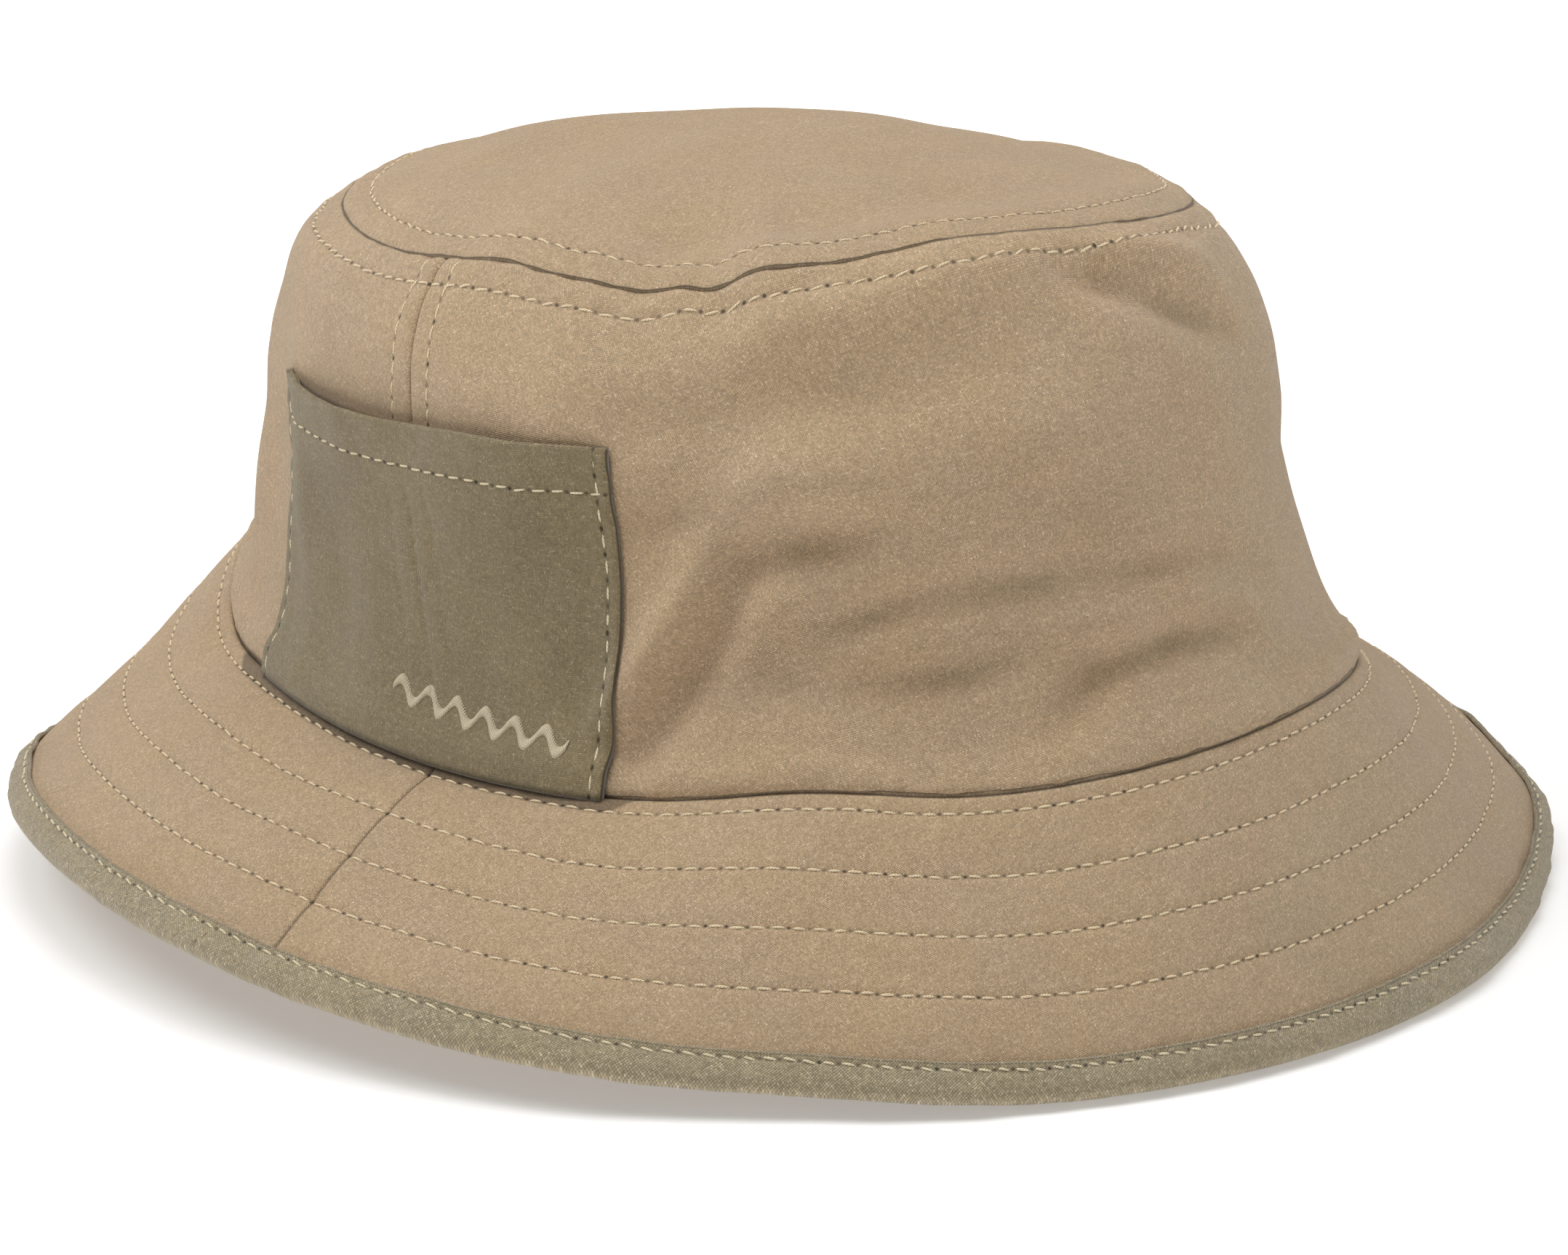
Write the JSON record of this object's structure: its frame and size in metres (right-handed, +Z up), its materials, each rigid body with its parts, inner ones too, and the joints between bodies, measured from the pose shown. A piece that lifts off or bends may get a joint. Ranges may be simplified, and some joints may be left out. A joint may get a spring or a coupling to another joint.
{
  "type": "bucket hat",
  "caption": "Soft two-tone bucket hat with an oval crown tip, stitched downturned brim, contrast edge binding and a patch pocket on one side, standing on its brim.",
  "frame": {"origin": "on the table, under the middle of the brim's outline", "axes": "+Z up out of the crown, -Y to the wearer's front, -X to the wearer's right, where the pocket is"},
  "size_m": [0.2432, 0.2536, 0.1226],
  "materials": {
    "shell_tan": "plain-weave cotton and linen, dry and matt",
    "trim_olive": "plain-weave cotton and linen, dry and matt",
    "thread_tan": "twisted polyester sewing thread, slight sheen",
    "thread_olive": "twisted polyester sewing thread, slight sheen",
    "lining_stone": "fine cotton lining, matt",
    "stiffener": "non-woven interlining, matt",
    "label_chalk": "woven satin label, soft sheen"
  },
  "bodies": {
    "root": {"crown_tip": "shell_tan", "crown_side_front": "shell_tan", "crown_side_back": "shell_tan", "brim_top_front": "shell_tan", "brim_top_back": "shell_tan", "brim_under_front": "shell_tan", "brim_under_back": "shell_tan", "sweatband": "shell_tan", "brim_binding": "trim_olive", "pocket_panel": "trim_olive", "pocket_hem_facing": "trim_olive", "maker_label": "trim_olive", "tip_topstitch": "thread_tan", "crown_topstitch": "thread_tan", "brim_topstitch_1": "thread_tan", "brim_topstitch_2": "thread_tan", "brim_topstitch_3": "thread_tan", "brim_topstitch_4": "thread_tan", "side_topstitch_right_front": "thread_tan", "side_topstitch_right_back": "thread_tan", "side_topstitch_left_front": "thread_tan", "side_topstitch_left_back": "thread_tan", "binding_topstitch": "thread_olive", "pocket_hem_topstitch": "thread_olive", "pocket_edge_topstitch_front": "thread_olive", "pocket_edge_topstitch_back": "thread_olive", "pocket_embroidery": "thread_olive", "lining_tip": "lining_stone", "lining_side_front": "lining_stone", "lining_side_back": "lining_stone", "brim_interlining": "stiffener", "care_label": "label_chalk", "size_label": "label_chalk"}
  },
  "joints": []
}
